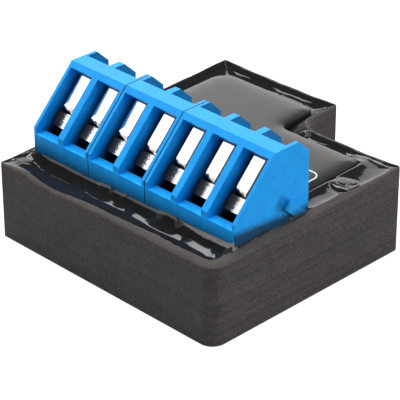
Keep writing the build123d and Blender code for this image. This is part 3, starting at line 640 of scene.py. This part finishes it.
mouldedSpec = {
    "flow": (1.2, 3.0, 0.55), "grain": (0.09, 2.0, 0.6), "grainDull": 0.12, "relief": 0.004,
}


def mouldedFinish(colour, shade, roughness):
    def build(paint):
        spec = mouldedSpec
        flow, grain = (paint.noise(*spec[key]) for key in ("flow", "grain"))
        return {"Base Color": paint.blend(flow, (*shade, 1), (*colour, 1)),
                "Roughness": roughness + grain * spec["grainDull"],
                "Normal": paint.bump(grain, spec["relief"])}
    return build


windingSpec = {
    "turn": 1.4, "waver": 0.6, "groove": (0.20, 0.06, 0.02, 1), "crown": (0.62, 0.28, 0.10, 1),
    "roughness": 0.24, "turnDull": 0.1, "relief": 0.03,
}


def windingFinish(paint):
    spec = windingSpec
    turns = paint.node("TexWave", {"wave_type": "BANDS", "bands_direction": "Y"}, {
        "Vector": paint.spot(), "Scale": 1 / (spec["turn"] * mm),
        "Distortion": spec["waver"]})
    # The groove colour is painted shade between the turns of wire.
    return {"Base Color": paint.blend(turns, spec["groove"], spec["crown"]),
            "Roughness": spec["roughness"] + turns * spec["turnDull"],
            "Normal": paint.bump(turns, spec["relief"])}


boardSpec = {
    "weave": (0.5, 0.35), "relief": 0.008, "flow": (1.8, 3.0, 0.6), "flowShare": (0.45, 0.55),
    "dark": (0.010, 0.10, 0.035, 1), "light": (0.016, 0.16, 0.055, 1),
    "roughness": 0.30, "flowDull": 0.1,
}


def boardFinish(paint):
    spec = boardSpec
    weave, flow = paint.cells(*spec["weave"]), paint.noise(*spec["flow"])
    base = paint.blend(paint.span(flow, *spec["flowShare"]), spec["dark"], spec["light"])
    return {"Base Color": base, "Roughness": spec["roughness"] + flow * spec["flowDull"],
            "Normal": paint.bump(weave, spec["relief"])}


relayBlack = mouldedFinish((0.05, 0.05, 0.055), (0.03, 0.03, 0.034), 0.42)
sleeveBlue = mouldedFinish((0.09, 0.10, 0.14), (0.05, 0.06, 0.09), 0.35)
chipBlack = mouldedFinish((0.035, 0.035, 0.036), (0.02, 0.02, 0.021), 0.55)
glazedBrown = mouldedFinish((0.62, 0.42, 0.20), (0.52, 0.33, 0.14), 0.32)
printWhite = mouldedFinish((0.80, 0.80, 0.80), (0.70, 0.70, 0.70), 0.40)
shine = "Specular IOR Level"
finishes = {
    "case_plastic": material("casePlastic", caseFinish, **{shine: 0.25}),
    "potting_compound": material("pottingResin", resinFinish, **{shine: 0.20}),
    "label_film": material("labelFilm", labelFinish, **{shine: 0.195}),
    "terminal_plastic": material("terminalPlastic", blueFinish, **{shine: 0.22}),
    "tinned_copper": material("tinPlating", plateFinish(tinPlate, 1.1, 0.62), Metallic=1.0),
    "nickel_steel": material("nickelPlating", plateFinish(nickelPlate, 0.13, 0.50), Metallic=1.0),
    "zinc_steel": material("zincPlating", plateFinish(zincPlate, 0.8, 0.55), Metallic=1.0),
    "board_laminate": material("boardLaminate", boardFinish),
    "relay_plastic": material("relayPlastic", relayBlack),
    "copper_winding": material("copperWinding", windingFinish, Metallic=0.6),
    "soft_iron": material("softIron", plateFinish(zincPlate, 1.0, 0.6), Metallic=1.0),
    "can_aluminium": material("canSleeve", sleeveBlue),
    "can_steel": material("canSteel", plateFinish(nickelPlate, 0.9, 0.6), Metallic=1.0),
    "chip_plastic": material("chipPlastic", chipBlack),
    "component_ceramic": material("componentCeramic", glazedBrown),
    "print_white": material("printWhite", printWhite),
}

slotOf = {row["node"]: row["material_slot"] for row in frame["record"]["subparts"]}
for nodeName, node in nodes.items():
    node.data.materials.clear()
    node.data.materials.append(finishes[slotOf[nodeName]])
    node["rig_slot"] = slotOf[nodeName]

print("case shell")

shellSpec = {
    "wall": 1.0, "floor": 1.0, "foot": 0.12, "layers": 9,
    "bandCurve": 1.7, "bandWidth": 0.9, "bandLeast": 0.35,
    "bandShares": (0.12, 0.25, 0.4, 0.55, 0.7, 0.85, 1.0),
    "lip": ((0.0, -0.07), (0.025, -0.015)),  # inset and height of the rounded outer edge
    "tuck": (0.2, -0.25),  # under the resin's edge
    "inner": (0.3, -1.6), "taper": 0.6,
}
sameSpot = 1e-5


def bridge(rings, closeLow=True, closeHigh=True):
    count = len(rings[0])
    verts = np.concatenate(rings)
    faces = []
    for level in range(len(rings) - 1):
        low, high = level * count, (level + 1) * count
        for index in range(count):
            ahead = (index + 1) % count
            faces.append((low + index, low + ahead, high + ahead, high + index))
    for close, first in ((closeLow, 0), (closeHigh, len(verts) - count)):
        before = [first + (place - 1) % count for place in range(count)]
        loop = [first + place for place in range(count)
                if math.dist(verts[first + place], verts[before[place]]) > sameSpot]
        if close:
            faces.append(tuple(reversed(loop)) if first == 0 else tuple(loop))
    return verts, faces


def addPiece(name, verts, faces, finish, stands=(), look=None, body="module", sharp=40.0):
    mesh = bpy.data.meshes.new(name)
    mesh.from_pydata([tuple(map(float, np.array(v) * mm)) for v in verts], [], faces)
    mesh.polygons.foreach_set("use_smooth", [len(face) <= 4 for face in faces])
    mesh.update()
    mesh.set_sharp_from_angle(angle=math.radians(sharp))
    piece = bpy.data.objects.new(name, mesh)
    bpy.context.scene.collection.objects.link(piece)
    mesh.materials.append(finishes[look or finish])
    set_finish(piece, finish)
    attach(piece, body)
    if stands:
        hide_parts(*stands)


def bandHeight(gap, inset, height):  # top of the case wall between its outer edge and the resin
    spec = shellSpec
    fall = rimSpec["edgeDrop"] * np.clip(inset / spec["bandWidth"], spec["bandLeast"], 1.0)
    return height - fall * np.clip(1 - gap / inset, 0, 1) ** spec["bandCurve"]


def makeCase():
    spec = shellSpec
    inset, height = contactLine(caseOutline.run)
    plane = rimPlane(caseOutline.base[:, 0], caseOutline.base[:, 1])
    edge = plane + bandHeight(0 * inset, inset, height)
    (sideInset, sideDrop), (lipInset, lipDrop) = spec["lip"]
    rings = [caseOutline.ring(spec["foot"], 0.0)]
    for level in range(spec["layers"] + 1):
        share = level / spec["layers"]
        side = spec["foot"] * (1 - share) + (edge + sideDrop) * share
        rings.append(caseOutline.ring(sideInset, side))
    rings.append(caseOutline.ring(lipInset, edge + lipDrop))
    for share in spec["bandShares"]:
        top = plane + bandHeight(inset * share, inset, height)
        rings.append(caseOutline.ring(inset * share, top))
    rings.append(caseOutline.ring(inset + spec["tuck"][0], plane + height + spec["tuck"][1]))
    innerInset = np.maximum(inset + spec["inner"][0], spec["wall"])
    rings.append(caseOutline.ring(innerInset, plane + spec["inner"][1]))
    rings.append(caseOutline.ring(spec["wall"] + spec["taper"], spec["floor"]))
    addPiece("caseShell", *bridge(rings), "case_plastic", ["case"])


makeCase()

print("resin surface")

pourSpec = {
    "drop": (1.95, 0.30), "reach": (3.6, 0.45),  # fall from the wall and its reach: rear, front
    "wallReach": 1.6, "underSlope": 0.8,
    "strip": ((-17.46, 17.46), (-15.09, -2.79)),
    "frontDrop": 0.52, "frontReach": 0.55,  # how much deeper it lies in front of the strip
    "frontFade": (14.4, 0.9, 2.0), "frontLeft": (1.4, 2.6, 1.5),  # start, width, power
    "climb": (0.30, 0.66), "climbReach": (1.05, 1.2), "climbCurve": (1.2, 1.5),  # left, right
    "climbBend": 1.4, "climbLeft": (0.4, 0.6), "leftFade": (0.9, 2.6),
    "rearClimb": 0.42, "rearReach": 0.9,
    "shelfReach": (1.5, 2.4), "shelfSoft": ((-10, -8), (0.02, 0.07)),  # slants, then climbs
    "shore": -0.10, "labelReach": 1.1, "underLabel": (-0.25, -0.05),
    "groove": 0.10, "grooveWidth": 0.22,  # beside the label
    "plainRight": (11, 3), "plainFront": (11, 2),  # where it lies shallow: start, width
    "calmLeft": (3.4, 1.2), "calmFront": (16.6, 1.2), "calmDrop": 0.6,  # front left corner
    "calmLine": (0.04, 1.75, 0.25, 19, 0.16),  # depth, place, slant, from where, width
    "stepLine": (0.04, 0.75, 0.14),  # depth, distance from the edge, width
    "swellSlant": (0.4, 0.3), "swellShare": (0.4, 0.6), "swellReach": 0.8,
    "blobRound": (3.2, 0.75), "blobMoat": (0.10, 1.12, 0.14), "blobEdge": 0.02,
    "skin": 0.05,  # how near to the outer face the surface goes under the rim
}
ripples = {  # amount, seed, periods, strengths
    "climbReach": (0.12, 2.3, (8.0, 3.7), (1.0, 0.5)),
    "climbCurve": (0.14, 5.9, (7.0, 3.1), (1.0, 0.6)),
    "shelf": (0.07, 7.7, (10.0, 4.7), (1.0, 0.5)),
    "swellAcross": (0.030, 0.6, (9.0, 4.3), (1.0, 0.5)),
    "swellBack": (0.016, 3.2, (7.0, 3.1), (1.0, 0.5)),
    "step": (0.15, 4.1, (9.0, 4.0), (1.0, 0.5)),
}
shelfSlopes = [  # x, slope: the flatter stretches catch the light
    (-17.5, 0.34), (-8.8, 0.34), (-8.0, 0.25), (-5.6, 0.24), (-4.9, 0.34), (-3.4, 0.34),
    (-2.7, 0.245), (-1.4, 0.24), (-0.8, 0.33), (0.0, 0.26), (0.7, 0.235), (5.0, 0.235),
    (6.2, 0.33), (8.3, 0.34), (9.2, 0.245), (16.3, 0.235), (17.5, 0.25),
]
resinBlobs = [  # x, y, half sizes, height
    (16.45, 4.9, 1.95, 1.75, 0.36), (16.9, 5.5, 0.75, 0.70, 0.10), (15.9, 4.5, 0.80, 0.60, 0.08),
    (3.55, 11.3, 1.0, 0.85, 0.30), (3.7, 11.45, 0.40, 0.34, 0.12), (-13.6, -18.5, 0.8, 0.35, 0.05),
]
labelPlate = {  # here already, because the resin lies round it
    "low": (-16.15, -2.09), "high": (14.05, 16.95), "shoulder": 10.45, "arm": 0.45,
    "backLeft": 2.4, "radius": 1.2, "under": 1.0, "top": 0.15, "flat": 2.8, "foot": (0.06, 0.05),
    "edge": [(0.0, -0.12), (0.03, -0.07), (0.12, -0.035), (0.30, 0.0), (0.60, 0.045),
             (1.0, 0.085), (1.5, 0.118), (2.1, 0.14)],
}
labelCorners = [
    (*labelPlate["low"], labelPlate["radius"]),
    (labelPlate["high"][0], labelPlate["low"][1], labelPlate["radius"]),
    (labelPlate["high"][0], labelPlate["shoulder"], labelPlate["radius"]),
    (labelPlate["arm"], labelPlate["shoulder"], labelPlate["radius"]),
    (labelPlate["arm"], labelPlate["high"][1], labelPlate["radius"]),
    (labelPlate["low"][0], labelPlate["high"][1], labelPlate["backLeft"]),
]
labelOutline = Outline(labelCorners, step=1.2, arcSteps=12)


def insideOutline(corners, x, y):  # within the two boxes that make the L, corners not rounded
    xs, ys = sorted({c[0] for c in corners}), sorted({c[1] for c in corners})
    low = (x > xs[0]) & (x < xs[2]) & (y > ys[0]) & (y < ys[1])
    return low | ((x > xs[0]) & (x < xs[1]) & (y > ys[0]) & (y < ys[2]))


def softClip(value, width):  # nothing below zero, with a rounded bend
    return width * np.logaddexp(0, value / width)


def fade(value, start, width):  # 0 up to the start, 1 from a width past it
    return np.clip((value - start) / width, 0, 1)


def bell(value, width):
    return np.exp(-(value / width) ** 2)


def settle(value, reach):  # 0 at the start, towards 1 past the reach
    return 1 - np.exp(-value / reach)


def ripple(name, run):
    amount, seed, periods, strengths = ripples[name]
    return amount * waver(run, seed, periods, strengths)


def wallHeight(x, y, beyond, height, plain, calm):  # the fall from the case wall
    spec = pourSpec
    start, width, power = spec["frontFade"]
    front = fade(-y, start, width) ** power
    start, width, power = spec["frontLeft"]
    front = front * fade(x - rimLow[0], start, width) ** power
    drop, reach = (np.interp(plain, (0, 1), spec[key]) for key in ("drop", "reach"))
    drop = drop * (1 - spec["calmDrop"] * calm)
    wall = height * np.exp(-beyond / spec["wallReach"]) - drop * settle(beyond, reach)
    return wall - spec["frontDrop"] * front * settle(beyond, spec["frontReach"])


def stripFoot(x, y):  # the climb at the terminal strip, and the shelf before it
    spec = pourSpec
    (left, right), (near, far) = spec["strip"]
    side = np.maximum(np.maximum(left - x, x - right), 0)
    depth = np.maximum(np.maximum(near - y, y - far), 0)
    away, share = np.hypot(side, depth), fade(x, left, right - left)
    before = y < near
    reach = np.where(before, np.interp(share, (0, 1), spec["climbReach"]), spec["rearReach"])
    reach = reach * (1 + ripple("climbReach", x))
    climb = np.where(before, np.interp(share, (0, 1), spec["climb"]), spec["rearClimb"])
    curve = np.interp(share ** spec["climbBend"], (0, 1), spec["climbCurve"])
    curve = curve * (1 + ripple("climbCurve", x))
    leftFade = fade(x - rimLow[0], *spec["leftFade"])
    least, rest = spec["climbLeft"]
    climb = climb * np.where(before, least + rest * leftFade, 1)
    width = np.interp(share, (0, 1), spec["shelfReach"]) * (1 + ripple("shelf", x))
    shelf = softClip(width - away, np.interp(x, *spec["shelfSoft"]))
    shelf = leftFade * np.interp(x, *zip(*shelfSlopes)) * shelf
    return climb * np.clip(1 - away / reach, 0, 1) ** curve + np.where(before, shelf, 0)


def labelBed(x, y, level, plain):  # the shore and the groove round the label
    spec = pourSpec
    edge = labelOutline.distance(x, y)[0]
    shore = spec["shore"] - level
    below, least = spec["underLabel"]
    beside = plain * shore * bell(edge, spec["labelReach"])
    beside = beside - spec["groove"] * bell(edge, spec["grooveWidth"])
    inside = insideOutline(labelCorners, x, y)
    return np.where(inside, np.minimum(shore + below, least), beside)


def blobHeight(x, y):
    (flatness, roundness), (moat, ring, width) = pourSpec["blobRound"], pourSpec["blobMoat"]
    blobs = 0 * x
    for blobX, blobY, wide, deep, tall in resinBlobs:
        away = np.hypot((x - blobX) / wide, (y - blobY) / deep)
        hill = tall * np.clip(1 - away ** flatness, 0, 1) ** roundness
        blobs = blobs + hill - moat * tall * bell(away - ring, width)
    return blobs


def pourHeight(x, y):
    spec = pourSpec
    gap, run = caseOutline.distance(x, y)
    inset, height = contactLine(run)
    beyond = np.clip(gap - inset, 0, None)
    start, width = spec["calmLeft"]
    calm = fade(-x, -rimLow[0] - start, width) * fade(-y, *spec["calmFront"])
    plain = np.maximum(fade(x, *spec["plainRight"]), fade(-y, *spec["plainFront"]))
    level = wallHeight(x, y, beyond, height, plain, calm) + stripFoot(x, y)
    level = level + labelBed(x, y, level, plain)
    slantY, slantX = spec["swellSlant"]
    swell = ripple("swellAcross", x + slantY * y) + ripple("swellBack", y - slantX * x)
    least, rest = spec["swellShare"]
    swell = swell * (1 - calm) * (least + rest * plain)
    deep, place, slant, origin, width = spec["calmLine"]
    crease = deep * calm * bell(x - rimLow[0] - place - slant * (y + origin), width)
    deep, place, width = spec["stepLine"]
    crease = crease + deep * (1 - plain) * bell(beyond - place - ripple("step", x - y), width)
    surface = level + (swell - crease) * settle(beyond, spec["swellReach"])
    surface = surface + blobHeight(x, y) * (beyond > spec["blobEdge"])
    under = bandHeight(gap, inset, height) - spec["underSlope"] * (inset - gap)
    return rimPlane(x, y) + np.where(gap > inset, surface, under), gap


gridSpec = {
    "fine": 0.07, "coarse": 0.40, "reach": 4.0, "power": 1.5,
    "xMarks": [rimLow[0], rimHigh[0] - 0.8, rimSpec["arm"], 3.6, 16.7],
    "yMarks": [rimLow[1] + 0.6, -15.4, -17.0, rimSpec["shoulder"], rimHigh[1], -2.5, 4.9, 11.3],
    "underStrip": 0.6,  # how far the surface goes on under the strip
    "skinShare": 0.8,  # of the skin, within which no point is kept
}


def gridLines(low, high, marks):  # closer together near the marks
    spec = gridSpec
    lines, place = [low], low
    while place < high:
        gap = min(abs(place - mark) for mark in marks)
        share = min(1.0, (gap / spec["reach"]) ** spec["power"])
        place += spec["fine"] + (spec["coarse"] - spec["fine"]) * share
        lines.append(min(place, high))
    return np.array(lines)


def insideCase(x, y):  # the L of the case, with its notch and its front right corner rounded
    arm, shoulder = rimSpec["arm"], rimSpec["shoulder"]
    radius = rimSpec["notchRadius"]
    web = (x > arm) & (y > shoulder) & (x < arm + radius) & (y < shoulder + radius)
    web &= np.hypot(x - arm - radius, y - shoulder - radius) > radius
    radius = rimSpec["frontRadius"]
    centreX, centreY = rimHigh[0] - radius, rimLow[1] + radius
    cut = (x > centreX) & (y < centreY) & (np.hypot(x - centreX, y - centreY) > radius)
    return ((x <= arm) | (y <= shoulder) | web) & ~cut


def makeResin():
    skin, inside = pourSpec["skin"], gridSpec["underStrip"]
    xs = gridLines(rimLow[0] + skin, rimHigh[0] - skin, gridSpec["xMarks"])
    ys = gridLines(rimLow[1] + skin, rimHigh[1] - skin, gridSpec["yMarks"])
    x, y = np.meshgrid(xs, ys)
    z, gap = pourHeight(x, y)
    (left, right), (near, far) = pourSpec["strip"]
    hidden = (x > left + inside) & (x < right - inside)
    hidden &= (y > near + inside) & (y < far - inside)
    keep = insideCase(x, y) & (gap > skin * gridSpec["skinShare"]) & ~hidden
    index = -np.ones(x.shape, int)
    index[keep] = np.arange(keep.sum())
    verts = np.column_stack([x[keep], y[keep], z[keep]])
    quads = np.stack([index[:-1, :-1], index[:-1, 1:], index[1:, 1:], index[1:, :-1]], axis=-1)
    faces = quads[(quads >= 0).all(axis=-1)].tolist()
    print("resin points", len(verts))
    addPiece("resinSurface", verts, faces, "potting_compound", ["potting_top"], sharp=75)


makeResin()

print("label")


def labelHeight(rise):
    return lambda x, y: rimPlane(x, y) + rise


def makeLabel():
    spec = labelPlate
    footInset, footRise = spec["foot"]
    profile = [(footInset, -spec["under"]), (0.0, -spec["under"] + footRise),
               *spec["edge"], (spec["flat"], spec["top"])]
    rings = [labelOutline.ring(inset, labelHeight(rise)) for inset, rise in profile]
    addPiece("labelCard", *bridge(rings), "label_film", ["label_plate"], sharp=60)


makeLabel()

printSpec = {
    "low": (-15.0, -1.3), "high": (13.15, 4.35), "radius": 1.3, "step": 2.0, "line": 0.20,
    "lift": 0.155, "digits": 7, "digit": 1.7, "digitRow": 1.0, "firstDigit": -13.0,
    "digitStep": 4.0,
}


def makePrint():
    spec = printSpec
    (x0, y0), (x1, y1) = spec["low"], spec["high"]
    corners = [(x, y, spec["radius"]) for x, y in ((x0, y0), (x1, y0), (x1, y1), (x0, y1))]
    outline = Outline(corners, step=spec["step"])
    rings = [outline.ring(inset, labelHeight(spec["lift"])) for inset in (0.0, spec["line"])]
    verts, faces = bridge(rings, False, False)
    addPiece("printedFrame", verts, faces, "label_film", look="print_white")
    for index in range(spec["digits"]):
        curve = bpy.data.curves.new(f"digit{index + 1}", "FONT")
        curve.body, curve.size = str(index + 1), spec["digit"] * mm
        curve.align_x, curve.align_y = "CENTER", "CENTER"
        shape = bpy.data.objects.new("digitSource", curve)
        mesh = bpy.data.meshes.new_from_object(shape)
        flat = np.array([v.co for v in mesh.vertices]) / mm
        x = flat[:, 0] + spec["firstDigit"] + spec["digitStep"] * index
        y = flat[:, 1] + spec["digitRow"]
        verts = np.column_stack([x, y, rimPlane(x, y) + spec["lift"]])
        addPiece(f"printedDigit{index + 1}", verts, [tuple(p.vertices) for p in mesh.polygons],
                 "label_film", look="print_white")
        bpy.data.objects.remove(shape)


makePrint()

print("moulded edges")

edgeWidths = {"terminal_block": 0.10, "contact_bar": 0.05, "clamp_cage": 0.05, "clamp_screw": 0.04}
edgeSpec = {"angle": 28, "segments": 2, "weld": 0.002}


def softenEdges(node, width):
    weld = node.modifiers.new("weld", "WELD")
    weld.merge_threshold = edgeSpec["weld"] * mm
    bevel = node.modifiers.new("edges", "BEVEL")
    bevel.width = width * mm
    bevel.segments = edgeSpec["segments"]
    bevel.limit_method = "ANGLE"
    bevel.angle_limit = math.radians(edgeSpec["angle"])
    bevel.harden_normals = True
    bevel.use_clamp_overlap = True


for nodeName, node in nodes.items():
    for family, width in edgeWidths.items():
        if nodeName.startswith(family):
            softenEdges(node, width)
